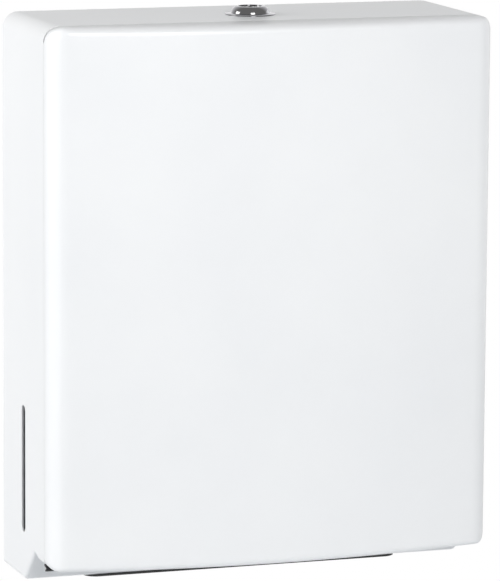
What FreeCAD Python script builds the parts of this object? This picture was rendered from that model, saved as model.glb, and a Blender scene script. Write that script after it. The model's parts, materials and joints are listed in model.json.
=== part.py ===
import FreeCAD, Part
import math
import os

import Sketcher
from FreeCAD import Vector

# Wall-mounted dispenser for folded paper towels, in powder-coated sheet steel.
# Heights are measured from the underside of the cabinet and depths from the wall.
# Every body is then lowered by half the height, so that the origin is the centre
# of the four wall holes, on the back face. +Z is up and the front faces -Y.

sizes = {
    "width": 275.0,
    "height": 335.0,
    "sheet": 1.2,
    "corner_radius": 9.5,
    "seam_depth": 88.0,
    "seam_gap": 0.3,
    "door_low": 15.3,
    "door_side_depth": 12.0,
    "door_bow": 16.0,
    "door_side_radius": 12.0,
    "door_edge_radius": 4.5,
    "door_foot_radius": 7.0,
    "joint_height": 26.0,
    "shelf_height": 18.0,
    "ridge_height": 20.6,
    "foot_margin": 2.6,
    "ridge_setback": 20.8,
    "toe_setback": 12.6,
    "foot_bend": 6.0,
    "ridge_bend": 2.0,
    "toe_bend": 7.0,
    "tray_edge_radius": 5.5,
    "frame_flange": 8.0,
    "relief": 0.7,
    "slot_depth": 44.0,
    "slot_low": 28.7,
    "slot_high": 105.5,
    "slot_width": 7.5,
    "rim": 12.0,
    "hole_spacing_wide": 190.0,
    "hole_spacing_tall": 220.0,
    "wall_hole_radius": 3.0,
    "mouth_half_width": 97.2,
    "mouth_rear": 14.5,
    "mouth_front": 44.0,
    "mouth_radius": 6.0,
    "mouth_fit": 0.2,
    "mouth_wall": 1.6,
    "mouth_lip": 1.3,
    "mouth_lip_width": 2.0,
    "mouth_collar": 7.0,
    "barb_reach": 1.0,
    "lock_setback": 35.5,
    "barrel_radius": 9.5,
    "barrel_fit": 0.2,
    "bezel_radius": 15.0,
    "bezel_top_radius": 8.6,
    "bezel_height": 5.0,
    "barrel_length": 16.7,
    "plug_radius": 6.0,
    "plug_head_radius": 7.0,
    "plug_head": 3.0,
    "plug_fit": 0.05,
    "cam_thickness": 2.0,
    "cam_half_width": 6.0,
    "cam_hub_radius": 8.0,
    "cam_reach": 41.5,
    "hook_height": 6.0,
    "drive_square": 6.0,
    "screw_radius": 1.5,
    "washer_radius": 13.0,
    "washer_thickness": 1.0,
    "nut_flats": 24.0,
    "nut_thickness": 4.0,
    "keeper_half_width": 8.0,
    "keeper_sheet": 1.5,
    "keeper_drop": 14.3,
    "keeper_leg": 15.0,
    "pivot_setback": 0.4,
    "knuckle_drop": 0.3,
    "hinge_sheet": 0.9,
    "pin_radius": 0.9,
    "pin_fit": 0.05,
    "barrel_inset": 0.7,
    "fixed_leaf_inset": 6.5,
    "door_leaf_inset": 13.5,
    "knuckle_gap": 0.5,
    "fixed_leaf_reach": 12.0,
    "door_leaf_reach": 8.0,
    "knuckle_clear": 0.35,
    "rivet_radius": 1.5,
    "rivet_fit": 0.1,
    "rivet_head": 2.7,
    "rivet_head_height": 0.8,
    "rivet_edge": 13.0,
    "tray_rivet_reach": 7.2,
    "door_rivet_reach": 5.3,
}
door_knuckles = 4
rivet_count = 4

doc = FreeCAD.newDocument("TowelDispenser")
sheet = doc.addObject("Spreadsheet::Sheet", "Sizes")
for row, (alias, value) in enumerate(sizes.items(), start=1):
    sheet.set("A%d" % row, alias)
    sheet.set("B%d" % row, str(value))
    sheet.setAlias("B%d" % row, alias)
doc.recompute()


# A length that knows both its number and the sheet expression that gives it.
class Size:
    def __init__(self, value, text):
        self.value = float(value)
        self.text = text

    def __add__(self, other):
        other = size(other)
        return Size(self.value + other.value, "(%s + %s)" % (self.text, other.text))

    def __sub__(self, other):
        other = size(other)
        return Size(self.value - other.value, "(%s - %s)" % (self.text, other.text))

    def __mul__(self, other):
        other = size(other)
        return Size(self.value * other.value, "(%s * %s)" % (self.text, other.text))

    def __truediv__(self, other):
        other = size(other)
        return Size(self.value / other.value, "(%s / %s)" % (self.text, other.text))

    def __radd__(self, other):
        return size(other) + self

    def __rsub__(self, other):
        return size(other) - self

    def __rmul__(self, other):
        return size(other) * self

    def __neg__(self):
        return size(0) - self


def size(value):
    return value if isinstance(value, Size) else Size(value, "(%r)" % float(value))


def root(value):
    return Size(math.sqrt(value.value), "sqrt(%s)" % value.text)


def named(alias):
    return Size(float(sheet.get(alias)), "Sizes." + alias)


def bind(obj, prop, value):
    obj.setExpression(prop, size(value).text)


def origin_plane(body, role):
    for feature in body.Origin.OriginFeatures:
        if feature.Role == role:
            return feature
    raise ValueError(role)


def new_body(label):
    body = doc.addObject("PartDesign::Body", label)
    body.Label = label
    bind(body, "Placement.Base.z", -named("height") / 2)
    return body


def new_sketch(body, role, name, offset=0):
    sketch = body.newObject("Sketcher::SketchObject", name)
    sketch.AttachmentSupport = [(origin_plane(body, role), "")]
    sketch.MapMode = "FlatFace"
    bind(sketch, "AttachmentOffset.Base.z", offset)
    return sketch


def arc_between(start, end, radius, turn):
    # turn is +1 for an arc that runs anticlockwise from start to end
    (ax, ay), (bx, by) = start, end
    half = math.hypot(bx - ax, by - ay) / 2
    rise = math.sqrt(max(radius * radius - half * half, 0.0))
    nx, ny = -(by - ay) / (2 * half), (bx - ax) / (2 * half)
    cx, cy = (ax + bx) / 2 + turn * rise * nx, (ay + by) / 2 + turn * rise * ny
    first = math.atan2(ay - cy, ax - cx)
    last = math.atan2(by - cy, bx - cx)
    if turn < 0:
        first, last = last, first
    circle = Part.Circle(Vector(cx, cy, 0), Vector(0, 0, 1), radius)
    return Part.ArcOfCircle(circle, first, last if last > first else last + 2 * math.pi)


# Draws one closed outline: points are (x, y) pairs of lengths, arcs gives the radius
# and turn of the side that starts at that point. Every point is held by the sheet.
def outline(sketch, points, arcs=None):
    arcs = arcs or {}
    count = len(points)
    numbers = [(size(x).value, size(y).value) for x, y in points]
    first = len(sketch.Geometry)
    starts, ends = [], []
    for i in range(count):
        here, there = numbers[i], numbers[(i + 1) % count]
        if i in arcs:
            radius, turn = arcs[i]
            sketch.addGeometry(arc_between(here, there, size(radius).value, turn), False)
            starts.append((first + i, 1 if turn > 0 else 2))
            ends.append((first + i, 2 if turn > 0 else 1))
        else:
            line = Part.LineSegment(Vector(*here, 0), Vector(*there, 0))
            sketch.addGeometry(line, False)
            starts.append((first + i, 1))
            ends.append((first + i, 2))
    for i in range(count):
        sketch.addConstraint(Sketcher.Constraint("Coincident", *ends[i - 1], *starts[i]))
    for i, (x, y) in enumerate(points):
        for kind, value, number in (("DistanceX", x, numbers[i][0]), ("DistanceY", y, numbers[i][1])):
            index = sketch.addConstraint(Sketcher.Constraint(kind, -1, 1, *starts[i], number))
            bind(sketch, "Constraints[%d]" % index, value)
    for i, (radius, turn) in arcs.items():
        if math.dist(numbers[i], numbers[(i + 1) % count]) > 1.999 * size(radius).value:
            # a half circle is held by the height of its centre
            constraint = Sketcher.Constraint("DistanceY", -1, 1, first + i, 3, numbers[i][1])
            index = sketch.addConstraint(constraint)
            bind(sketch, "Constraints[%d]" % index, points[i][1])
            continue
        constraint = Sketcher.Constraint("Radius", first + i, size(radius).value)
        index = sketch.addConstraint(constraint)
        bind(sketch, "Constraints[%d]" % index, radius)


def circle(sketch, x, y, radius):
    centre = Vector(size(x).value, size(y).value, 0)
    ring = Part.Circle(centre, Vector(0, 0, 1), size(radius).value)
    item = sketch.addGeometry(ring, False)
    for kind, value in (("DistanceX", x), ("DistanceY", y)):
        constraint = Sketcher.Constraint(kind, -1, 1, item, 3, size(value).value)
        index = sketch.addConstraint(constraint)
        bind(sketch, "Constraints[%d]" % index, value)
    index = sketch.addConstraint(Sketcher.Constraint("Radius", item, size(radius).value))
    bind(sketch, "Constraints[%d]" % index, radius)


def rectangle(sketch, x0, x1, y0, y1):
    outline(sketch, [(x0, y0), (x1, y0), (x1, y1), (x0, y1)])


def rounded(sketch, x0, x1, y0, y1, radius, low_radius):
    points = [
        (x0 + low_radius, y0),
        (x1 - low_radius, y0),
        (x1, y0 + low_radius),
        (x1, y1 - radius),
        (x1 - radius, y1),
        (x0 + radius, y1),
        (x0, y1 - radius),
        (x0, y0 + low_radius),
    ]
    outline(sketch, points, {1: (low_radius, 1), 3: (radius, 1), 5: (radius, 1), 7: (low_radius, 1)})


def settle(body, feature):
    doc.recompute()
    for obj in body.Group:
        if "Invalid" in obj.State or "Error" in obj.State:
            raise ValueError("%s is %s: %s" % (obj.Name, obj.State, obj.getStatusString()))
    if feature.Shape.isNull() or not feature.Shape.isValid():
        raise ValueError(feature.Name + " has no valid shape")


def solid(body, kind, name, sketch, length, both=False, away=False):
    feature = body.newObject("PartDesign::" + kind, name)
    feature.Profile = sketch
    feature.SideType = "Symmetric" if both else "One side"
    feature.Reversed = away
    bind(feature, "Length", length)
    sketch.Visibility = False
    settle(body, feature)
    return feature


def pad(body, name, sketch, length, **options):
    return solid(body, "Pad", name, sketch, length, **options)


def pocket(body, name, sketch, length, **options):
    before = body.Shape.Volume
    feature = solid(body, "Pocket", name, sketch, length, **options)
    if body.Shape.Volume > before - 1e-6:
        raise ValueError(name + " cuts nothing")
    return feature


def revolve(body, name, sketch):
    feature = body.newObject("PartDesign::Revolution", name)
    feature.Profile = sketch
    feature.ReferenceAxis = (sketch, ["V_Axis"])
    feature.Angle = 360
    sketch.Visibility = False
    doc.recompute()
    return feature


def repeat(body, name, feature, sketch, axis, step, count):
    pattern = body.newObject("PartDesign::LinearPattern", name)
    pattern.Originals = [feature]
    pattern.Direction = (sketch, [axis])
    pattern.Occurrences = count
    bind(pattern, "Length", step * (count - 1))
    body.Tip = pattern
    doc.recompute()
    return pattern


def rounding(body, name, feature, radius, wanted):
    names = []
    for number, edge in enumerate(feature.Shape.Edges, start=1):
        if wanted(edge.BoundBox):
            names.append("Edge%d" % number)
    if not names:
        raise ValueError(name + " finds no edge")
    fillet = body.newObject("PartDesign::Fillet", name)
    fillet.Base = (feature, names)
    bind(fillet, "Radius", radius)
    doc.recompute()
    return fillet


def near(value, target):
    return abs(value - size(target).value) < 0.02


width = named("width")
height = named("height")
thick = named("sheet")
half = width / 2
corner = named("corner_radius")
seam = named("seam_depth")
shelf = named("shelf_height")
inner_half = half - thick
lock_depth = seam - named("lock_setback")
pivot = seam - named("pivot_setback")
tray_rivet_depth = pivot - named("tray_rivet_reach")
door_rivet_depth = pivot + named("door_rivet_reach")
nodes = []


# Cabinet wrap: one sheet folded over both sides and the top.
wrap = new_body("cabinet_wrap")
nodes.append(wrap)
section = new_sketch(wrap, "XZ_Plane", "wrap_section")
fold = height - corner
joint = named("joint_height")
outline(
    section,
    [
        (-half, joint),
        (-half, fold),
        (corner - half, height),
        (half - corner, height),
        (half, fold),
        (half, joint),
        (inner_half, joint),
        (inner_half, fold),
        (half - corner, height - thick),
        (corner - half, height - thick),
        (-inner_half, fold),
        (-inner_half, joint),
    ],
    {1: (corner, -1), 3: (corner, -1), 7: (corner - thick, 1), 9: (corner - thick, 1)},
)
pad(wrap, "wrap_pad", section, seam)

# Inward flanges stiffen the front opening; they stop short of the rounded corners.
flange = named("frame_flange")
flange_top = fold - 1
flanges = new_sketch(wrap, "XZ_Plane", "flange_section", seam - thick)
rectangle(flanges, corner - half + 1, half - corner - 1, height - flange, height - thick / 2)
for low, high in ((half - flange, half - thick / 2), (thick / 2 - half, flange - half)):
    rectangle(flanges, low, high, joint, flange_top)
pad(wrap, "flange_pad", flanges, thick)

# Sight slot in each side, with round ends.
slot_half = named("slot_width") / 2
slot_y = -named("slot_depth")
slots = new_sketch(wrap, "YZ_Plane", "sight_slot")
outline(
    slots,
    [
        (slot_y + slot_half, named("slot_low") + slot_half),
        (slot_y + slot_half, named("slot_high") - slot_half),
        (slot_y - slot_half, named("slot_high") - slot_half),
        (slot_y - slot_half, named("slot_low") + slot_half),
    ],
    {1: (slot_half, 1), 3: (slot_half, 1)},
)
pocket(wrap, "slot_pocket", slots, width + 2, both=True)

lock_hole = new_sketch(wrap, "XY_Plane", "lock_hole", height + 1)
circle(lock_hole, 0, -lock_depth, named("barrel_radius") + named("barrel_fit"))
pocket(wrap, "lock_pocket", lock_hole, thick + 2)

# Bend relief where the front edge runs round each top corner.
relief = named("relief")
reliefs = new_sketch(wrap, "XZ_Plane", "relief_section", seam - relief)
for low, high in ((half - corner, half + 1), (-half - 1, corner - half)):
    rectangle(reliefs, low, high, fold, height + 1)
pocket(wrap, "relief_pocket", reliefs, relief + 1, away=True)


# Back plate: a shallow pan whose rims are spot-welded inside the wrap.
back = new_body("back_plate")
nodes.append(back)
plate_top = height - thick
plate = new_sketch(back, "XZ_Plane", "plate_section")


def plate_outline(sketch, inset):
    edge = inner_half - inset
    radius = corner - thick - inset
    low_radius = named("tray_edge_radius") - thick - inset
    rounded(sketch, -edge, edge, thick + inset, plate_top - inset, radius, low_radius)


plate_outline(plate, 0)
pad(back, "plate_pad", plate, named("rim"))
hollow = new_sketch(back, "XZ_Plane", "plate_hollow", thick)
plate_outline(hollow, thick)
pocket(back, "plate_pocket", hollow, named("rim"), away=True)
wall_holes = new_sketch(back, "XZ_Plane", "wall_holes", -1)
for side in (-1, 1):
    for level in (-1, 1):
        x = named("hole_spacing_wide") * side / 2
        z = height / 2 + named("hole_spacing_tall") * level / 2
        circle(wall_holes, x, z, named("wall_hole_radius"))
pocket(back, "wall_hole_pocket", wall_holes, thick + 2, away=True)


# Towel tray: a shallow drawn pan, its rim welded flush under the wrap. The bottom runs
# into a sloping chin, over a low ridge and down to the shelf that carries the hinge.
# It is drawn as two blocks, the outer form and the same form one sheet smaller.
foot = named("mouth_front") + named("foot_margin")
ridge = seam - named("ridge_setback")
ridge_top = named("ridge_height")
toe = seam - named("toe_setback")
chin_slope = math.atan2(ridge_top.value, (ridge - foot).value)
toe_slope = math.atan2((ridge_top - shelf).value, (toe - ridge).value)
ridge_spread = math.sin(chin_slope + toe_slope)
ridge_back = (math.cos(toe_slope) - math.cos(chin_slope)) / ridge_spread
ridge_lift = (math.sin(chin_slope) + math.sin(toe_slope)) / ridge_spread


def tray_block(name, inset, rear, top):
    body = doc.addObject("PartDesign::Body", name)
    end = half - inset
    bends = (
        (foot - inset * math.tan(chin_slope / 2), inset, named("foot_bend") - inset),
        (ridge - inset * ridge_back, ridge_top + inset * ridge_lift, named("ridge_bend") + inset),
        (toe + inset * math.tan(toe_slope / 2), shelf + inset, named("toe_bend") - inset),
    )
    profile = new_sketch(body, "YZ_Plane", name + "_profile")
    outline(
        profile,
        [(rear, inset)]
        + [(-depth, level) for depth, level, radius in bends]
        + [(inset - seam, shelf + inset), (inset - seam, top), (rear, top)],
    )
    block = pad(body, name + "_pad", profile, end * 2, both=True)
    for number, (depth, level, radius) in enumerate(bends, start=1):
        block = rounding(
            body,
            "%s_bend_%d" % (name, number),
            block,
            radius,
            lambda box: box.XLength > 100 and near(box.YMin, -depth) and near(box.ZMin, level),
        )
    rounding(
        body,
        name + "_edges",
        block,
        named("tray_edge_radius") - inset,
        lambda box: box.XLength < 0.01 and box.YLength > 0.5 and box.ZMax < joint.value - 1,
    )
    return body


tray_form = tray_block("tray_form", size(0), size(0), joint)
mouth = named("mouth_half_width")
mouth_hole = new_sketch(tray_form, "XY_Plane", "mouth_hole", -1)
rounded(
    mouth_hole,
    -mouth,
    mouth,
    -named("mouth_front"),
    -named("mouth_rear"),
    named("mouth_radius"),
    named("mouth_radius"),
)
pocket(tray_form, "mouth_pocket", mouth_hole, thick + 2, away=True)
rivet_hole_radius = named("rivet_radius") + named("rivet_fit")
rivet_span = half - named("door_leaf_inset") - named("rivet_edge")
rivet_step = rivet_span * 2 / (rivet_count - 1)
tray_holes = new_sketch(tray_form, "XY_Plane", "tray_rivet_hole", shelf - 1)
circle(tray_holes, -rivet_span, -tray_rivet_depth, rivet_hole_radius)
first_hole = pocket(tray_form, "tray_rivet_pocket", tray_holes, thick + 2, away=True)
repeat(
    tray_form,
    "tray_rivet_holes",
    first_hole,
    tray_holes,
    "H_Axis",
    rivet_step,
    rivet_count,
)
tray_hollow = tray_block("tray_hollow", thick, size(5), joint + 5)
tray = doc.addObject("Part::Cut", "towel_tray")
tray.Label = "towel_tray"
tray.Base = tray_form
tray.Tool = tray_hollow
bind(tray, "Placement.Base.z", -height / 2)
nodes.append(tray)


# Mouth insert: black trim, its collar pushed up through the tray and held by barbs.
trim = new_body("mouth_insert")
nodes.append(trim)
fit = named("mouth_fit")
lip_out = named("mouth_lip_width")
wall = named("mouth_wall")


def mouth_ring(sketch, grow):
    rounded(
        sketch,
        -mouth - grow,
        mouth + grow,
        -named("mouth_front") - grow,
        grow - named("mouth_rear"),
        named("mouth_radius") + grow,
        named("mouth_radius") + grow,
    )


lip = new_sketch(trim, "XY_Plane", "lip_outline", -named("mouth_lip"))
mouth_ring(lip, lip_out)
pad(trim, "lip_pad", lip, named("mouth_lip"))
collar = new_sketch(trim, "XY_Plane", "collar_outline", -named("mouth_lip"))
mouth_ring(collar, -fit)
pad(trim, "collar_pad", collar, named("mouth_lip") + named("mouth_collar"))
opening = new_sketch(trim, "XY_Plane", "opening_outline", -named("mouth_lip") - 1)
mouth_ring(opening, -fit - wall)
pocket(
    trim,
    "opening_pocket",
    opening,
    named("mouth_lip") + named("mouth_collar") + 2,
    away=True,
)
barb = named("barb_reach")
for face, out, name in (
    (-named("mouth_front") + fit, -1, "front"),
    (-named("mouth_rear") - fit, 1, "rear"),
):
    for side in (-1, 1):
        barbs = new_sketch(trim, "YZ_Plane", "barb_%s_%d" % (name, side + 1), mouth * 0.62 * side - 4)
        corners = [
            (face - 0.6 * out, thick + 0.15),
            (face + barb * out, thick + 0.15),
            (face - 0.6 * out, thick + 4.2),
        ]
        outline(barbs, corners)
        pad(trim, "barb_pad_%s_%d" % (name, side + 1), barbs, 8)


# Lock body: chrome bezel and threaded barrel, through the top of the wrap.
def on_lock_axis(body):
    bind(body, "Placement.Base.y", -lock_depth)
    return body


barrel = on_lock_axis(new_body("lock_body"))
nodes.append(barrel)
bore = named("plug_radius") + named("plug_fit")
barrel_low = height - named("barrel_length")
counterbore = named("plug_head_radius") + named("plug_fit")
bezel_top = height + named("bezel_height")
turned = new_sketch(barrel, "XZ_Plane", "barrel_profile")
outline(
    turned,
    [
        (bore, barrel_low),
        (named("barrel_radius"), barrel_low),
        (named("barrel_radius"), height),
        (named("bezel_radius"), height),
        (named("bezel_radius"), height + 1.1),
        (named("bezel_top_radius"), bezel_top),
        (counterbore, bezel_top),
        (counterbore, bezel_top - named("plug_head")),
        (bore, bezel_top - named("plug_head")),
    ],
)
revolve(barrel, "barrel_revolution", turned)

washer = doc.addObject("Part::Cut", "lock_washer")
nut = doc.addObject("Part::Cut", "lock_nut")
washer_low = plate_top - named("washer_thickness")
nut_low = washer_low - named("nut_thickness")
disc = doc.addObject("Part::Cylinder", "washer_disc")
bind(disc, "Radius", named("washer_radius"))
bind(disc, "Height", named("washer_thickness"))
disc_hole = doc.addObject("Part::Cylinder", "washer_hole")
bind(disc_hole, "Radius", named("barrel_radius") + named("barrel_fit"))
bind(disc_hole, "Height", named("washer_thickness"))
hexagon = doc.addObject("Part::Prism", "nut_hexagon")
hexagon.Polygon = 6
bind(hexagon, "Circumradius", named("nut_flats") / math.sqrt(3))
bind(hexagon, "Height", named("nut_thickness"))
thread = doc.addObject("Part::Cylinder", "nut_thread")
bind(thread, "Radius", named("barrel_radius") + 0.05)
bind(thread, "Height", named("nut_thickness"))
for ring, blank, hole, level in (
    (washer, disc, disc_hole, washer_low),
    (nut, hexagon, thread, nut_low),
):
    ring.Base = blank
    ring.Tool = hole
    ring.Label = ring.Name
    bind(ring, "Placement.Base.y", -lock_depth)
    bind(ring, "Placement.Base.z", level - height / 2)
    nodes.append(ring)


# Lock plug: turned core with a keyhole, a shoulder and a square drive for the cam.
plug = on_lock_axis(new_body("lock_plug"))
nodes.append(plug)
plug_top = bezel_top - 0.6
shoulder = bezel_top - named("plug_head") + named("plug_fit")
plug_low = barrel_low - 0.2
cam_low = plug_low - named("cam_thickness")
core = new_sketch(plug, "XZ_Plane", "plug_profile")
outline(
    core,
    [
        (0, plug_low),
        (named("plug_radius"), plug_low),
        (named("plug_radius"), shoulder),
        (named("plug_head_radius"), shoulder),
        (named("plug_head_radius"), plug_top - 0.5),
        (named("plug_head_radius") - 0.5, plug_top),
        (0, plug_top),
    ],
)
revolve(plug, "plug_revolution", core)
drive = new_sketch(plug, "XY_Plane", "drive_square", cam_low)
square = named("drive_square") / 2
rectangle(drive, -square, square, -square, square)
pad(plug, "drive_pad", drive, named("cam_thickness") + 1)
keyway = new_sketch(plug, "XY_Plane", "keyhole", plug_top + 1)
rectangle(keyway, -0.9, 0.9, -3.6, 3.6)
pocket(plug, "keyhole_pocket", keyway, 13)
tapping = new_sketch(plug, "XY_Plane", "screw_hole", cam_low - 1)
circle(tapping, 0, 0, named("screw_radius") + 0.05)
pocket(plug, "screw_pocket", tapping, 10, away=True)

# Lock cam: flat bar with a hook turned up at its end, drawn in the unlocked position.
cam = on_lock_axis(new_body("lock_cam"))
nodes.append(cam)
reach = named("cam_reach")
arm_half = named("cam_half_width")
hub = new_sketch(cam, "XY_Plane", "cam_hub", cam_low)
circle(hub, 0, 0, named("cam_hub_radius"))
pad(cam, "hub_pad", hub, named("cam_thickness"))
arm = new_sketch(cam, "XY_Plane", "cam_arm", cam_low)
rectangle(arm, 0, reach, -arm_half, arm_half)
pad(cam, "arm_pad", arm, named("cam_thickness"))
hook = new_sketch(cam, "XY_Plane", "cam_hook", cam_low)
rectangle(hook, reach - named("cam_thickness"), reach, -arm_half, arm_half)
hooked = pad(cam, "hook_pad", hook, named("cam_thickness") + named("hook_height"))
rounding(
    cam,
    "hook_bend",
    hooked,
    2.0,
    lambda box: near(box.XMin, reach) and near(box.XMax, reach) and near(box.ZMax, cam_low),
)
square_hole = new_sketch(cam, "XY_Plane", "cam_square", cam_low - 1)
rectangle(square_hole, -square - 0.05, square + 0.05, -square - 0.05, square + 0.05)
pocket(cam, "cam_square_pocket", square_hole, named("cam_thickness") + 2, away=True)

# Cam screw: clamps the cam against the shoulder of the plug.
screw = on_lock_axis(new_body("cam_screw"))
nodes.append(screw)
shank = new_sketch(screw, "XZ_Plane", "screw_profile")
outline(
    shank,
    [
        (0, cam_low - 2.2),
        (3.4, cam_low - 2.2),
        (4.6, cam_low - 1.2),
        (4.6, cam_low),
        (named("screw_radius"), cam_low),
        (named("screw_radius"), cam_low + 8.5),
        (0, cam_low + 8.5),
    ],
)
revolve(screw, "screw_revolution", shank)
driver = new_sketch(screw, "XY_Plane", "driver_slot", cam_low - 3)
rectangle(driver, -5, 5, -0.5, 0.5)
pocket(screw, "driver_pocket", driver, 1.9, away=True)


# Door pan: bowed front with soft edges and returns all round, drawn as two blocks,
# the outer form and the hollow, which is the same form one sheet smaller.
door_rear = seam + named("seam_gap")
corner_depth = seam + named("door_side_depth")
bow = named("door_bow")
crown = corner_depth + bow
bow_radius = (half * half + bow * bow) / (bow * 2)
bow_centre = crown - bow_radius
door_low = named("door_low")

# The hinge sits at the lower rear edge of the door, so its sizes are needed here.
pin_radius = named("pin_radius")
eye = pin_radius + named("pin_fit")
leaf = named("hinge_sheet")
roll = eye + leaf
pivot_height = shelf - roll - named("knuckle_drop")
clear = roll + named("knuckle_clear")


def door_block(name, inset, rear):
    body = doc.addObject("PartDesign::Body", name)
    edge = half - inset
    arc = bow_radius - inset
    front_corner = bow_centre + root(arc * arc - edge * edge)
    low = door_low + inset
    high = height - inset
    plan = new_sketch(body, "XY_Plane", name + "_plan", low)
    outline(
        plan,
        [(-edge, -rear), (-edge, -front_corner), (edge, -front_corner), (edge, -rear)],
        {1: (arc, 1)},
    )
    block = pad(body, name + "_pad", plan, high - low)
    block = rounding(
        body,
        name + "_sides",
        block,
        named("door_side_radius") - inset,
        lambda box: box.ZLength > 100 and near(box.YMin, -front_corner),
    )
    block = rounding(
        body,
        name + "_edges",
        block,
        named("door_edge_radius") - inset,
        lambda box: box.ZLength < 0.01 and not near(box.YMin, -rear),
    )
    return body


def trim_corners(body, name, inset):
    frame = new_sketch(body, "XZ_Plane", name + "_corners")
    edge = half - inset
    rectangle(frame, -half - 5, half + 5, door_low - 5, height + 5)
    foot_radius = named("door_foot_radius")
    rounded(frame, -edge, edge, door_low + inset, height - inset, corner - inset, foot_radius - inset)
    pocket(body, name + "_corner_pocket", frame, crown * 3, both=True)


outer = door_block("door_form", size(0), door_rear)
trim_corners(outer, "door_form", size(0))
corner_cuts = new_sketch(outer, "XZ_Plane", "door_relief", door_rear)
for low, high in ((half - corner, half + 1), (-half - 1, corner - half)):
    rectangle(corner_cuts, low, high, fold, height + 1)
pocket(outer, "door_relief_pocket", corner_cuts, relief, away=True)
channel = new_sketch(outer, "YZ_Plane", "barrel_channel")
rectangle(channel, -pivot - clear, 0, door_low - 1, pivot_height + clear)
pocket(outer, "barrel_channel_pocket", channel, width + 2, both=True)
door_holes = new_sketch(outer, "XY_Plane", "door_rivet_hole", door_low - 1)
circle(door_holes, -rivet_span, -door_rivet_depth, rivet_hole_radius)
door_hole = pocket(outer, "door_rivet_pocket", door_holes, thick + 2, away=True)
repeat(
    outer,
    "door_rivet_holes",
    door_hole,
    door_holes,
    "H_Axis",
    rivet_step,
    rivet_count,
)
inner = door_block("door_hollow", thick, door_rear - 5)
trim_corners(inner, "door_hollow", thick)
door = doc.addObject("Part::Cut", "door_pan")
door.Label = "door_pan"
door.Base = outer
door.Tool = inner
bind(door, "Placement.Base.z", -height / 2)
nodes.append(door)

# Latch bracket: the keeper that the cam hooks behind, welded under the top return.
keeper = new_body("latch_bracket")
nodes.append(keeper)
keeper_rear = door_rear + 0.4
keeper_top = height - thick
keeper_sheet = named("keeper_sheet")
angle = new_sketch(keeper, "YZ_Plane", "keeper_profile")
outline(
    angle,
    [
        (-keeper_rear, keeper_top - named("keeper_drop")),
        (-keeper_rear, keeper_top),
        (-keeper_rear - named("keeper_leg"), keeper_top),
        (-keeper_rear - named("keeper_leg"), keeper_top - keeper_sheet),
        (-keeper_rear - keeper_sheet, keeper_top - keeper_sheet),
        (-keeper_rear - keeper_sheet, keeper_top - named("keeper_drop")),
    ],
)
bent = pad(keeper, "keeper_pad", angle, named("keeper_half_width") * 2, both=True)
bent = rounding(
    keeper,
    "keeper_bend",
    bent,
    keeper_sheet + 0.8,
    lambda box: box.XLength > 10 and near(box.YMax, -keeper_rear) and near(box.ZMin, keeper_top),
)
rounding(
    keeper,
    "keeper_inside",
    bent,
    0.8,
    lambda box: box.XLength > 10
    and near(box.YMax, -keeper_rear - keeper_sheet)
    and near(box.ZMax, keeper_top - keeper_sheet),
)


# Piano hinge: two leaves with rolled knuckles that take turns along one pin. The rear
# leaf is riveted under the shelf, the front one on the bottom return of the door.
hinge_half = half - named("barrel_inset")
pitch = hinge_half * 2 / (door_knuckles * 2 + 1)
gap = named("knuckle_gap")


def hinge_leaf(label, out, first, count, top, plate_half, reach, rivet_depth):
    body = new_body(label)
    start = -hinge_half + pitch * first + gap / 2
    strip = new_sketch(body, "YZ_Plane", label + "_strip")
    outline(
        strip,
        [
            (-pivot - out * clear, top),
            (-pivot - out * reach, top),
            (-pivot - out * reach, top - leaf),
            (-pivot - out * clear, top - leaf),
        ],
    )
    pad(body, label + "_plate", strip, plate_half * 2, both=True)
    eye_side = new_sketch(body, "YZ_Plane", label + "_eye", start)
    circle(eye_side, -pivot, pivot_height, roll)
    knuckle = pad(body, label + "_roll", eye_side, pitch - gap)
    neck = new_sketch(body, "YZ_Plane", label + "_neck_side", start)
    outline(
        neck,
        [
            (-pivot - out * 0.4, top),
            (-pivot - out * (clear + 0.5), top),
            (-pivot - out * (clear + 0.5), top - leaf),
            (-pivot - out * clear, top - leaf),
            (-pivot - out * (roll + 0.1), top - leaf - 0.3),
            (-pivot - out * roll * 0.8, pivot_height + roll * 0.4),
            (-pivot - out * 0.4, pivot_height + roll * 0.72),
        ],
    )
    joined = pad(body, label + "_neck", neck, pitch - gap)
    pattern = body.newObject("PartDesign::LinearPattern", label + "_knuckles")
    pattern.Originals = [knuckle, joined]
    pattern.Direction = (origin_plane(body, "X_Axis"), [""])
    pattern.Occurrences = count
    bind(pattern, "Length", pitch * 2 * (count - 1))
    body.Tip = pattern
    doc.recompute()
    bore_side = new_sketch(body, "YZ_Plane", label + "_bore", -hinge_half - 1)
    circle(bore_side, -pivot, pivot_height, eye)
    pocket(body, label + "_bore_pocket", bore_side, hinge_half * 2 + 2, away=True)
    holes = new_sketch(body, "XY_Plane", label + "_hole", top + 1)
    circle(holes, -rivet_span, -rivet_depth, rivet_hole_radius)
    hole = pocket(body, label + "_hole_pocket", holes, leaf + 2)
    repeat(body, label + "_holes", hole, holes, "H_Axis", rivet_step, rivet_count)
    nodes.append(body)


flange_face = door_low + thick
hinge_leaf(
    "hinge_leaf_fixed",
    -1,
    0,
    door_knuckles + 1,
    shelf,
    half - named("fixed_leaf_inset"),
    named("fixed_leaf_reach"),
    tray_rivet_depth,
)
hinge_leaf(
    "hinge_leaf_door",
    1,
    1,
    door_knuckles,
    flange_face + leaf,
    half - named("door_leaf_inset"),
    named("door_leaf_reach"),
    door_rivet_depth,
)

pin = new_body("hinge_pin")
nodes.append(pin)
pin_end = new_sketch(pin, "YZ_Plane", "pin_section")
circle(pin_end, -pivot, pivot_height, pin_radius)
pad(pin, "pin_pad", pin_end, hinge_half * 2, both=True)


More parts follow.
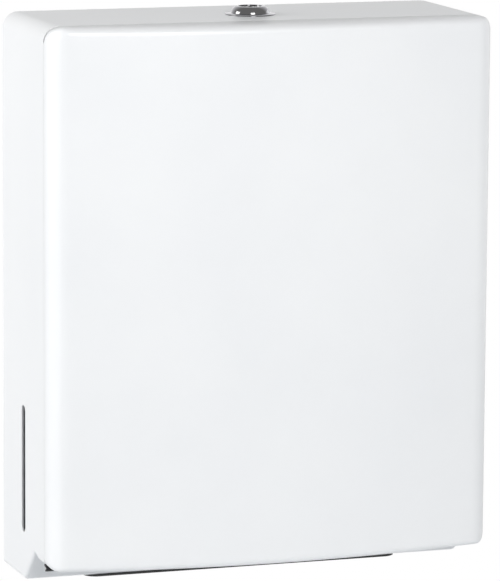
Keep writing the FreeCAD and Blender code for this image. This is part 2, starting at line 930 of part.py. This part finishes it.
# Rivets: one head under the stack of sheets, the set head on top of it.
def rivet(label, x, depth, low, high):
    body = new_body(label)
    bind(body, "Placement.Base.x", x)
    bind(body, "Placement.Base.y", -depth)
    head_radius = named("rivet_head")
    head_height = named("rivet_head_height")
    shape = new_sketch(body, "XZ_Plane", label + "_profile")
    outline(
        shape,
        [
            (0, low - head_height),
            (head_radius * 0.6, low - head_height),
            (head_radius, low),
            (named("rivet_radius"), low),
            (named("rivet_radius"), high),
            (head_radius * 0.9, high),
            (head_radius * 0.5, high + head_height),
            (0, high + head_height),
        ],
    )
    revolve(body, label + "_revolution", shape)
    nodes.append(body)


for number in range(rivet_count):
    x = rivet_step * number - rivet_span
    rivet("tray_rivet_%d" % (number + 1), x, tray_rivet_depth, shelf - leaf, shelf + thick)
    rivet("door_rivet_%d" % (number + 1), x, door_rivet_depth, door_low, flange_face + leaf)


doc.recompute()
for obj in doc.Objects:
    if "Invalid" in obj.State or "Error" in obj.State:
        raise ValueError("%s is %s" % (obj.Label, obj.State))
for node in nodes:
    if node.Shape.isNull() or not node.Shape.isValid():
        raise ValueError(node.Label + " has no valid shape")
os.makedirs("parts", exist_ok=True)
for node in nodes:
    node.Shape.exportStep("parts/%s.step" % node.Label)
    box = node.Shape.BoundBox
    print("%-18s solids %d volume %9.1f" % (node.Label, len(node.Shape.Solids), node.Shape.Volume), box)
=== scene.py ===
import json
import math

import bmesh
import bpy
from mathutils import Matrix, Vector


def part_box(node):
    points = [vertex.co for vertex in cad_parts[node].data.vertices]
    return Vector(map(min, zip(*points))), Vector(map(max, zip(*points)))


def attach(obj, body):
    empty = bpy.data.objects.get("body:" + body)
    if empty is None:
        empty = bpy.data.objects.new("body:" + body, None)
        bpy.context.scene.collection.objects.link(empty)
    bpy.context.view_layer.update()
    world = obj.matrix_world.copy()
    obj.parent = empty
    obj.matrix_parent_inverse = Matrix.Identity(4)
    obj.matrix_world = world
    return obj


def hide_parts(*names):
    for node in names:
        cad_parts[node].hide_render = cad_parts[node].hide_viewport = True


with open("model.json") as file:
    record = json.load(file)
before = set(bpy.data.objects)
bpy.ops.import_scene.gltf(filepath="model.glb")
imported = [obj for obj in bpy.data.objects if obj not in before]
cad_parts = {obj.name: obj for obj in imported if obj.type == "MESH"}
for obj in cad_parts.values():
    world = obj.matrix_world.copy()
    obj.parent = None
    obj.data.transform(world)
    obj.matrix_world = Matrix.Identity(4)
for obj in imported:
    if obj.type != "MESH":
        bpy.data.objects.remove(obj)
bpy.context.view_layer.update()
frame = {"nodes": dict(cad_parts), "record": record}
print("frame loaded")

mm = 0.001
nearMiss = 0.1 * mm
weldGap = 0.01 * mm
facesAxis = 0.99


def newMaterial(name):
    material = bpy.data.materials.new(name)
    material.use_nodes = True
    nodes = material.node_tree.nodes
    return material, nodes, material.node_tree.links, nodes["Principled BSDF"]


def objectNoise(nodes, links, scale, detail, roughness=0.5):
    coords = nodes.new("ShaderNodeTexCoord")
    noise = nodes.new("ShaderNodeTexNoise")
    noise.inputs["Scale"].default_value = scale
    noise.inputs["Detail"].default_value = detail
    noise.inputs["Roughness"].default_value = roughness
    links.new(coords.outputs["Object"], noise.inputs["Vector"])
    return noise.outputs["Fac"]


def colourRamp(nodes, links, source, facts):
    ramp = nodes.new("ShaderNodeValToRGB")
    for element, end in zip(ramp.color_ramp.elements, ("low", "high")):
        element.position = facts[end + "At"]
        element.color = (*facts[end], 1)
    links.new(source, ramp.inputs["Fac"])
    return ramp.outputs["Color"]


def glossSpread(nodes, links, source, facts):
    spread = nodes.new("ShaderNodeMapRange")
    spread.inputs["To Min"].default_value = facts["roughLow"]
    spread.inputs["To Max"].default_value = facts["roughHigh"]
    links.new(source, spread.inputs["Value"])
    return spread.outputs["Result"]


def surfaceBump(nodes, links, source, shader, facts):
    bump = nodes.new("ShaderNodeBump")
    bump.inputs["Strength"].default_value = facts["bumpStrength"]
    bump.inputs["Distance"].default_value = facts["bumpDepth"]
    links.new(source, bump.inputs["Height"])
    links.new(bump.outputs["Normal"], shader.inputs["Normal"])


def cloudedMaterial(name, facts):
    material, nodes, links, shader = newMaterial(name)
    cloud = objectNoise(nodes, links, facts["cloudScale"], facts["cloudDetail"], facts["cloudRoughness"])
    links.new(colourRamp(nodes, links, cloud, facts), shader.inputs["Base Color"])
    links.new(glossSpread(nodes, links, cloud, facts), shader.inputs["Roughness"])
    shader.inputs["Metallic"].default_value = facts["metallic"]
    return material, nodes, links, shader, cloud


# powder coat: faint orange peel and a slow drift of tone and gloss
powder = {
    "low": (0.84, 0.845, 0.85),
    "high": (0.87, 0.873, 0.872),
    "lowAt": 0.3,
    "highAt": 0.7,
    "cloudScale": 9.0,
    "cloudDetail": 3.0,
    "cloudRoughness": 0.5,
    "roughLow": 0.34,
    "roughHigh": 0.42,
    "metallic": 0.0,
    "peelScale": 700.0,
    "peelDetail": 1.5,
    "bumpStrength": 0.25,
    "bumpDepth": 0.02 * mm,
    "specular": 0.45,
    "coat": 0.15,
    "coatRoughness": 0.2,
}


def powderCoat():
    material, nodes, links, shader, _ = cloudedMaterial("powderCoat", powder)
    peel = objectNoise(nodes, links, powder["peelScale"], powder["peelDetail"])
    surfaceBump(nodes, links, peel, shader, powder)
    shader.inputs["Specular IOR Level"].default_value = powder["specular"]
    shader.inputs["Coat Weight"].default_value = powder["coat"]
    shader.inputs["Coat Roughness"].default_value = powder["coatRoughness"]
    return material


# grained finishes: moulded plastic, the hinge's blackened steel, zinc plating with crystal clouds
grained = {
    "blackPlastic": {
        "low": (0.010, 0.010, 0.011),
        "high": (0.018, 0.018, 0.019),
        "lowAt": 0.3,
        "highAt": 0.7,
        "cloudScale": 1500.0,
        "cloudDetail": 3.0,
        "cloudRoughness": 0.5,
        "roughLow": 0.28,
        "roughHigh": 0.38,
        "metallic": 0.0,
        "bumpStrength": 0.3,
        "bumpDepth": 0.03 * mm,
    },
    "blackenedSteel": {
        "low": (0.012, 0.012, 0.014),
        "high": (0.035, 0.035, 0.038),
        "lowAt": 0.3,
        "highAt": 0.7,
        "cloudScale": 140.0,
        "cloudDetail": 4.0,
        "cloudRoughness": 0.6,
        "roughLow": 0.35,
        "roughHigh": 0.5,
        "metallic": 0.6,
        "bumpStrength": 0.15,
        "bumpDepth": 0.02 * mm,
    },
    "zincSteel": {
        "low": (0.50, 0.51, 0.52),
        "high": (0.66, 0.66, 0.65),
        "lowAt": 0.3,
        "highAt": 0.7,
        "cloudScale": 420.0,
        "cloudDetail": 4.0,
        "cloudRoughness": 0.65,
        "roughLow": 0.25,
        "roughHigh": 0.42,
        "metallic": 1.0,
        "bumpStrength": 0.1,
        "bumpDepth": 0.02 * mm,
    },
}


def grainedMaterial(name):
    material, nodes, links, shader, grain = cloudedMaterial(name, grained[name])
    surfaceBump(nodes, links, grain, shader, grained[name])
    return material


# polished chrome of the lock, with its reflection painted into the base colour: dark where it faces the
# camera, as if it mirrored a dim room, and bright only at the rims
chromePaintedReflection = {
    "low": (0.11, 0.11, 0.11),
    "high": (0.50, 0.50, 0.53),
    "lowAt": 0.35,
    "highAt": 0.9,
    "paintedRimBlend": 0.5,
    "wipeScale": 260.0,
    "wipeDetail": 4.0,
    "wipeRoughness": 0.7,
    "roughLow": 0.06,
    "roughHigh": 0.14,
    "metallic": 1.0,
}


def paintedReflectionChrome():
    material, nodes, links, shader = newMaterial("paintedReflectionChrome")
    wipe = objectNoise(nodes, links, chromePaintedReflection["wipeScale"], chromePaintedReflection["wipeDetail"], chromePaintedReflection["wipeRoughness"])
    links.new(glossSpread(nodes, links, wipe, chromePaintedReflection), shader.inputs["Roughness"])
    # painted reflection: the base colour runs from dark where the chrome faces the camera to bright
    # towards its rims
    rim = nodes.new("ShaderNodeLayerWeight")
    rim.inputs["Blend"].default_value = chromePaintedReflection["paintedRimBlend"]
    links.new(colourRamp(nodes, links, rim.outputs["Facing"], chromePaintedReflection), shader.inputs["Base Color"])
    shader.inputs["Metallic"].default_value = chromePaintedReflection["metallic"]
    return material


finishes = {
    "white_coat": powderCoat(),
    "black_plastic": grainedMaterial("blackPlastic"),
    "hinge_black": grainedMaterial("blackenedSteel"),
    "lock_chrome": paintedReflectionChrome(),
    "bright_steel": grainedMaterial("zincSteel"),
}
for subpart in frame["record"]["subparts"]:
    part = frame["nodes"][subpart["node"]]
    part.data.materials.clear()
    part.data.materials.append(finishes[subpart["material_slot"]])
print("finishes set")


def meshFrom(bm, name, crease):
    mesh = bpy.data.meshes.new(name)
    bm.to_mesh(mesh)
    bm.free()
    mesh.set_sharp_from_angle(angle=math.radians(crease))
    return mesh


def newPiece(name, mesh, body, slotName):
    piece = bpy.data.objects.new(name, mesh)
    bpy.context.scene.collection.objects.link(piece)
    piece.data.materials.append(finishes[slotName])
    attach(piece, body)
    return piece


def giveSheet(skin, sheet):
    wall = skin.modifiers.new("wall", "SOLIDIFY")
    wall.thickness = sheet
    wall.offset = -1


def boxCorners(node):
    low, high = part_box(node)
    return Vector(low), Vector(high)


# door: one pressed sheet, its edges rolled 11 mm at the sides and 4.5 mm at top and bottom,
# with a relief at the upper corners and a straight channel for the hinge at the foot
door = {
    "bow": 16 * mm,
    "cornerDepth": 100 * mm,
    "topRadius": 9.5 * mm,
    "footRadius": 7 * mm,
    "leastRadius": 1.5 * mm,
    "cornerSteps": 10,
    "sideRoll": 11 * mm,
    "edgeRoll": 4.5 * mm,
    "rollSteps": 8,
    "rollEnd": math.radians(90),
    "holdingStrip": 1.5 * mm,
    "sheet": 1.2 * mm,
    "relief": 0.7 * mm,
    "reliefShare": 0.01,
    "channelHigh": -149.45 * mm,
    "channelDepth": 89.8 * mm,
    "columns": 40,
    "crease": 40,
}


def cornerRadius(height):
    return door["topRadius"] if height > 0 else door["footRadius"]


def doorOutline(low, high):
    bm = bmesh.new()
    bmesh.ops.create_grid(bm, x_segments=1, y_segments=1, size=0.5)
    across, tall = high.x - low.x, high.z - low.z
    turn = Matrix.Rotation(math.radians(90), 4, "X")
    place = Matrix.Translation(((low.x + high.x) / 2, high.y, (low.z + high.z) / 2))
    bmesh.ops.transform(bm, matrix=place @ turn @ Matrix.Diagonal((across, tall, 1, 1)), verts=bm.verts)
    for level in (high.z, low.z):
        corners = [vert for vert in bm.verts if abs(vert.co.z - level) < nearMiss]
        bmesh.ops.bevel(bm, geom=corners, affect="VERTICES", offset=cornerRadius(level),
                        segments=door["cornerSteps"], profile=0.5, material=-1)
    bmesh.ops.delete(bm, geom=bm.faces[:], context="FACES_ONLY")
    return bm


def outwardFromCorner(co, low, high):
    radius = cornerRadius(co.z)
    coreX = min(max(co.x, low.x + radius), high.x - radius)
    coreZ = min(max(co.z, low.z + radius), high.z - radius)
    return Vector((co.x - coreX, 0, co.z - coreZ)).normalized()


def bowAt(x, half):
    radius = (half * half + door["bow"] ** 2) / (2 * door["bow"])
    return math.sqrt(radius * radius - x * x) - math.sqrt(radius * radius - half * half)


def rolledPlace(start, out, low, high, angle, extra):
    side = door["sideRoll"] * (1 - math.cos(angle)) + extra
    edge = door["edgeRoll"] * (1 - math.cos(angle)) + extra
    radius = max(cornerRadius(start.z) - (side + edge) / 2, door["leastRadius"])
    coreX = math.copysign(high.x - side - radius, start.x)
    coreZ = high.z - edge - radius if start.z > 0 else low.z + edge + radius
    roll = door["edgeRoll"] + (door["sideRoll"] - door["edgeRoll"]) * out.x ** 2
    depth = door["cornerDepth"] - roll + roll * math.sin(angle)
    return Vector((coreX + out.x * radius, -depth, coreZ + out.z * radius))


def rollEdges(bm, low, high):
    ring = bm.edges[:]
    starts = {vert: (vert.co.copy(), outwardFromCorner(vert.co, low, high)) for vert in bm.verts}
    steps = [(door["rollEnd"] * step / door["rollSteps"], 0) for step in range(door["rollSteps"] + 1)]
    for angle, extra in steps + [(door["rollEnd"], door["holdingStrip"])]:
        made = bmesh.ops.extrude_edge_only(bm, edges=ring)["geom"]
        ring = [item for item in made if isinstance(item, bmesh.types.BMEdge)]
        fresh = {}
        for vert in [item for item in made if isinstance(item, bmesh.types.BMVert)]:
            below = min(starts, key=lambda item: (item.co - vert.co).length)
            fresh[vert] = starts[below]
        for vert, (start, out) in fresh.items():
            vert.co = rolledPlace(start, out, low, high, angle, extra)
        starts = fresh
    bmesh.ops.contextual_create(bm, geom=ring)


def bowFront(bm, low, high):
    for column in range(1, door["columns"]):
        x = low.x + (high.x - low.x) * column / door["columns"]
        bmesh.ops.bisect_plane(bm, geom=bm.verts[:] + bm.edges[:] + bm.faces[:],
                               plane_co=(x, 0, 0), plane_no=(1, 0, 0))
    for vert in bm.verts:
        out = outwardFromCorner(vert.co, low, high)
        if vert.co.y < high.y - nearMiss:
            vert.co.y -= bowAt(vert.co.x, high.x)
        elif vert.co.z < door["channelHigh"]:
            vert.co.y = -door["channelDepth"]
        elif vert.co.z > 0 and abs(out.x * out.z) > door["reliefShare"]:
            vert.co.y -= door["relief"]


def makeDoor():
    low, high = boxCorners("door_pan")
    bm = doorOutline(low, high)
    rollEdges(bm, low, high)
    bowFront(bm, low, high)
    bmesh.ops.remove_doubles(bm, verts=bm.verts, dist=weldGap)
    bmesh.ops.recalc_face_normals(bm, faces=bm.faces)
    front = max(bm.faces, key=lambda face: face.calc_area())
    if front.normal.y > 0:
        bmesh.ops.reverse_faces(bm, faces=bm.faces)
    for face in bm.faces:
        face.smooth = True
    skin = newPiece("doorSkin", meshFrom(bm, "doorSkin", door["crease"]), "door", "white_coat")
    giveSheet(skin, door["sheet"])
    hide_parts("door_pan")


makeDoor()
print("door made")


# tray: a drawn pan, its bottom running into the sloping chin, the ridge and the shelf
tray = {
    "sheet": 1.2 * mm,
    "profile": ((0, 0), (46.6 * mm, 0), (67.2 * mm, 20.6 * mm), (75.4 * mm, 18 * mm),
                (88 * mm, 18 * mm), (88 * mm, 26 * mm), (0, 26 * mm)),
    "bends": ((46.6 * mm, 2.5 * mm), (67.2 * mm, 1.2 * mm), (75.4 * mm, 1.1 * mm)),
    "bendSteps": 6,
    "edgeRadius": 2.6 * mm,
    "edgeSteps": 8,
    "rimMargin": 1 * mm,
    "mouthHalf": 97.2 * mm,
    "mouthRear": 14.5 * mm,
    "mouthFront": 44 * mm,
    "mouthRadius": 6 * mm,
    "mouthSteps": 8,
    "crease": 40,
    "flatArea": 0.0005,
    "flatNormal": 0.999,
}


def trayBlock(low, high):
    bm = bmesh.new()
    ring = [bm.verts.new((low.x, -depth, low.z + level)) for depth, level in tray["profile"]]
    sides = [bm.edges.new((ring[index - 1], ring[index])) for index in range(len(ring))]
    end = bmesh.ops.contextual_create(bm, geom=sides)["faces"]
    grown = bmesh.ops.extrude_face_region(bm, geom=end)["geom"]
    moved = [item for item in grown if isinstance(item, bmesh.types.BMVert)]
    bmesh.ops.translate(bm, verts=moved, vec=(high.x - low.x, 0, 0))
    bmesh.ops.recalc_face_normals(bm, faces=bm.faces)
    for depth, reach in tray["bends"]:
        folds = [edge for edge in bm.edges if edge.verts[0].co.x * edge.verts[1].co.x < 0
                 and all(abs(vert.co.y + depth) < weldGap for vert in edge.verts)]
        bmesh.ops.bevel(bm, geom=folds, affect="EDGES", offset=reach,
                        segments=tray["bendSteps"], profile=0.5, material=-1)
    ends = [edge for edge in bm.edges if edge.verts[0].co.x * edge.verts[1].co.x > 0
            and abs(edge.verts[0].co.y - edge.verts[1].co.y) > weldGap
            and all(vert.co.z < high.z - tray["rimMargin"] for vert in edge.verts)]
    bmesh.ops.bevel(bm, geom=ends, affect="EDGES", offset=tray["edgeRadius"],
                    segments=tray["edgeSteps"], profile=0.5, material=-1)
    return bm


def cutMouth(bm, level):
    floors = (face for face in bm.faces if face.normal.z < -facesAxis)
    bottom = max(floors, key=lambda face: face.calc_area())
    rim = bottom.edges[:]
    bmesh.ops.delete(bm, geom=[bottom], context="FACES_ONLY")
    across, deep = tray["mouthHalf"] * 2, tray["mouthFront"] - tray["mouthRear"]
    place = Matrix.Translation((0, -(tray["mouthFront"] + tray["mouthRear"]) / 2, level))
    corners = bmesh.ops.create_grid(bm, x_segments=1, y_segments=1, size=0.5,
                                    matrix=place @ Matrix.Diagonal((across, deep, 1, 1)))["verts"]
    before = set(bm.verts) - set(corners)
    bmesh.ops.bevel(bm, geom=corners, affect="VERTICES", offset=tray["mouthRadius"],
                    segments=tray["mouthSteps"], profile=0.5, material=-1)
    fresh = [vert for vert in bm.verts if vert not in before]
    faces = {face for vert in fresh for face in vert.link_faces}
    bmesh.ops.delete(bm, geom=list(faces), context="FACES_ONLY")
    opening = list({edge for vert in fresh for edge in vert.link_edges})
    bmesh.ops.triangle_fill(bm, use_beauty=True, edges=rim + opening, normal=(0, 0, -1))


def makeTray():
    low, high = boxCorners("towel_tray")
    bm = trayBlock(low, high)
    openEnds = [face for face in bm.faces if face.normal.y > facesAxis or face.normal.z > facesAxis]
    bmesh.ops.delete(bm, geom=openEnds, context="FACES_ONLY")
    cutMouth(bm, low.z)
    mesh = meshFrom(bm, "traySkin", tray["crease"])
    for face in mesh.polygons:
        plane = max(abs(value) for value in face.normal) > tray["flatNormal"]
        face.use_smooth = not (plane or face.area > tray["flatArea"])
    skin = newPiece("traySkin", mesh, "cabinet", "white_coat")
    giveSheet(skin, tray["sheet"])
    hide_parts("towel_tray")


makeTray()
print("tray made")


# lock body: a thin flange, a domed bezel on it and a threaded barrel below
lock = {
    "axisDepth": 52.5 * mm,
    "bore": 6.05 * mm,
    "counterbore": 7.05 * mm,
    "counterboreDepth": 3 * mm,
    "barrel": 9.5 * mm,
    "thread": 0.45 * mm,
    "pitch": 1.5 * mm,
    "flange": 15 * mm,
    "flangeRise": 0.5 * mm,
    "flangeEdge": (0.3 * mm, 0.15 * mm),
    "domeCentre": (6.15 * mm, -4.75 * mm),
    "domeRadius": 5.4 * mm,
    "domeStart": 8,
    "domeSweep": 54,
    "domeSteps": 10,
    "turns": 72,
    "weldGap": 0.001 * mm,
    "crease": 30,
}


def lockProfile(low, seat, top):
    root = lock["barrel"] - lock["thread"]
    shoulder = top - lock["counterboreDepth"]
    profile = [(lock["counterbore"], top), (lock["counterbore"], shoulder),
               (lock["bore"], shoulder), (lock["bore"], low), (root, low)]
    level = low + lock["pitch"] / 2
    while level < seat - lock["pitch"] / 2:
        profile += [(lock["barrel"], level), (root, level + lock["pitch"] / 2)]
        level += lock["pitch"]
    rise = seat + lock["flangeRise"]
    edgeIn, edgeUp = lock["flangeEdge"]
    profile += [(root, seat), (lock["flange"], seat), (lock["flange"], rise),
                (lock["flange"] - edgeIn, rise + edgeUp)]
    for step in range(lock["domeSteps"] + 1):
        angle = math.radians(lock["domeStart"] + lock["domeSweep"] * step / lock["domeSteps"])
        profile.append((lock["domeCentre"][0] + lock["domeRadius"] * math.cos(angle),
                        top + lock["domeCentre"][1] + lock["domeRadius"] * math.sin(angle)))
    return profile


def makeLock():
    low, high = boxCorners("lock_body")
    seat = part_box("cabinet_wrap")[1][2]
    bm = bmesh.new()
    verts = [bm.verts.new((radius, -lock["axisDepth"], min(level, high.z)))
             for radius, level in lockProfile(low.z, seat, high.z)]
    edges = [bm.edges.new((verts[index - 1], verts[index])) for index in range(len(verts))]
    bmesh.ops.spin(bm, geom=verts + edges, cent=(0, -lock["axisDepth"], 0), axis=(0, 0, 1),
                   dvec=(0, 0, 0), angle=math.radians(360), steps=lock["turns"],
                   use_merge=True, use_duplicate=False)
    bmesh.ops.remove_doubles(bm, verts=bm.verts, dist=lock["weldGap"])
    bmesh.ops.recalc_face_normals(bm, faces=bm.faces)
    for face in bm.faces:
        face.smooth = True
    shell = newPiece("lockBody", meshFrom(bm, "lockBody", lock["crease"]), "cabinet", "lock_chrome")
    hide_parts("lock_body")


makeLock()
print("lock made")


# camera: angles and distance of the photograph, lens and sensor in mm
photoView = {
    "azimuth": -18.76,
    "elevation": 9.39,
    "roll": 0.37,
    "distance": 2.7001,
    "across": 0.017755,
    "rise": 0.15879,
    "footHeight": -0.1675,
    "lens": 271.7,
    "sensor": 36,
}


def makeCamera():
    azimuth = math.radians(photoView["azimuth"])
    elevation = math.radians(photoView["elevation"])
    back = Vector((math.sin(azimuth) * math.cos(elevation),
                   -math.cos(azimuth) * math.cos(elevation), math.sin(elevation)))
    right = Vector((math.cos(azimuth), math.sin(azimuth), 0))
    up = back.cross(right)
    camera = bpy.data.objects.new("camera", bpy.data.cameras.new("camera"))
    bpy.context.scene.collection.objects.link(camera)
    level = Matrix((right, up, back)).transposed().to_4x4()
    place = right * photoView["across"] + up * photoView["rise"] + back * photoView["distance"]
    place.z += photoView["footHeight"]
    turn = Matrix.Rotation(math.radians(photoView["roll"]), 4, "Z")
    camera.matrix_world = Matrix.Translation(place) @ level @ turn
    camera.data.lens = photoView["lens"]
    camera.data.sensor_width = photoView["sensor"]
    bpy.context.scene.camera = camera


makeCamera()

# studio lamps: soft ones in front and high on the left, a weak one on the right
lamps = {
    "keyLamp": {"place": (-0.1, -2.2, 0.85), "size": 0.9, "power": 39.5},
    "sideLamp": {"place": (-1.95, 0.4, 0.7), "size": 1.0, "power": 32},
    "fillLamp": {"place": (2.3, 0.8, 0.2), "size": 1.4, "power": 6},
}


def makeLamps():
    for name, facts in lamps.items():
        lamp = bpy.data.lights.new(name, "AREA")
        lamp.energy = facts["power"]
        lamp.size = facts["size"]
        holder = bpy.data.objects.new(name, lamp)
        bpy.context.scene.collection.objects.link(holder)
        place = Vector(facts["place"])
        aim = place.to_track_quat("Z", "Y").to_matrix().to_4x4()
        holder.matrix_world = Matrix.Translation(place) @ aim


# studio surroundings: a pale floor that throws light up at the part, and a dim cool room
studio = {
    "floorHeight": -0.75,
    "floorSize": 12.0,
    "floorColour": (0.86, 0.89, 0.92),
    "floorRoughness": 0.9,
    "worldStrength": 0.12,
    "worldColour": (0.87, 0.925, 1.0),
}


def whiteForCamera(nodes, links):
    # 1 for camera, mirror and glass rays, which see plain white, and 0 for all others
    path = nodes.new("ShaderNodeLightPath")
    seen = path.outputs["Is Camera Ray"]
    for ray in ("Is Glossy Ray", "Is Transmission Ray"):
        either = nodes.new("ShaderNodeMath")
        either.operation = "MAXIMUM"
        links.new(seen, either.inputs[0])
        links.new(path.outputs[ray], either.inputs[1])
        seen = either.outputs[0]
    return seen


def mixForCamera(nodes, links, real, white, surface):
    mix = nodes.new("ShaderNodeMixShader")
    links.new(whiteForCamera(nodes, links), mix.inputs[0])
    links.new(real.outputs[0], mix.inputs[1])
    links.new(white.outputs[0], mix.inputs[2])
    links.new(mix.outputs[0], surface)


def makeWorld():
    world = bpy.data.worlds.new("studio")
    bpy.context.scene.world = world
    world.use_nodes = True
    nodes, links = world.node_tree.nodes, world.node_tree.links
    soft = nodes["Background"]
    soft.inputs["Color"].default_value = (*studio["worldColour"], 1)
    soft.inputs["Strength"].default_value = studio["worldStrength"]
    plain = nodes.new("ShaderNodeBackground")
    plain.inputs["Color"].default_value = (1, 1, 1, 1)
    plain.inputs["Strength"].default_value = 1.0
    mixForCamera(nodes, links, soft, plain, nodes["World Output"].inputs["Surface"])


def makeFloor():
    bm = bmesh.new()
    bmesh.ops.create_grid(bm, x_segments=1, y_segments=1, size=studio["floorSize"])
    bmesh.ops.translate(bm, verts=bm.verts, vec=(0, 0, studio["floorHeight"]))
    mesh = bpy.data.meshes.new("floor")
    bm.to_mesh(mesh)
    bm.free()
    floor = bpy.data.objects.new("floor", mesh)
    bpy.context.scene.collection.objects.link(floor)
    # the camera looks through the floor, so that the underside can be seen from below
    floor.visible_camera = False
    material, nodes, links, shader = newMaterial("paleFloor")
    shader.inputs["Base Color"].default_value = (*studio["floorColour"], 1)
    shader.inputs["Roughness"].default_value = studio["floorRoughness"]
    glow = nodes.new("ShaderNodeEmission")
    glow.inputs["Strength"].default_value = 1.0
    mixForCamera(nodes, links, shader, glow, nodes["Material Output"].inputs["Surface"])
    mesh.materials.append(material)


makeLamps()
makeWorld()
makeFloor()
bpy.context.scene.view_settings.view_transform = "Standard"
print("studio made")
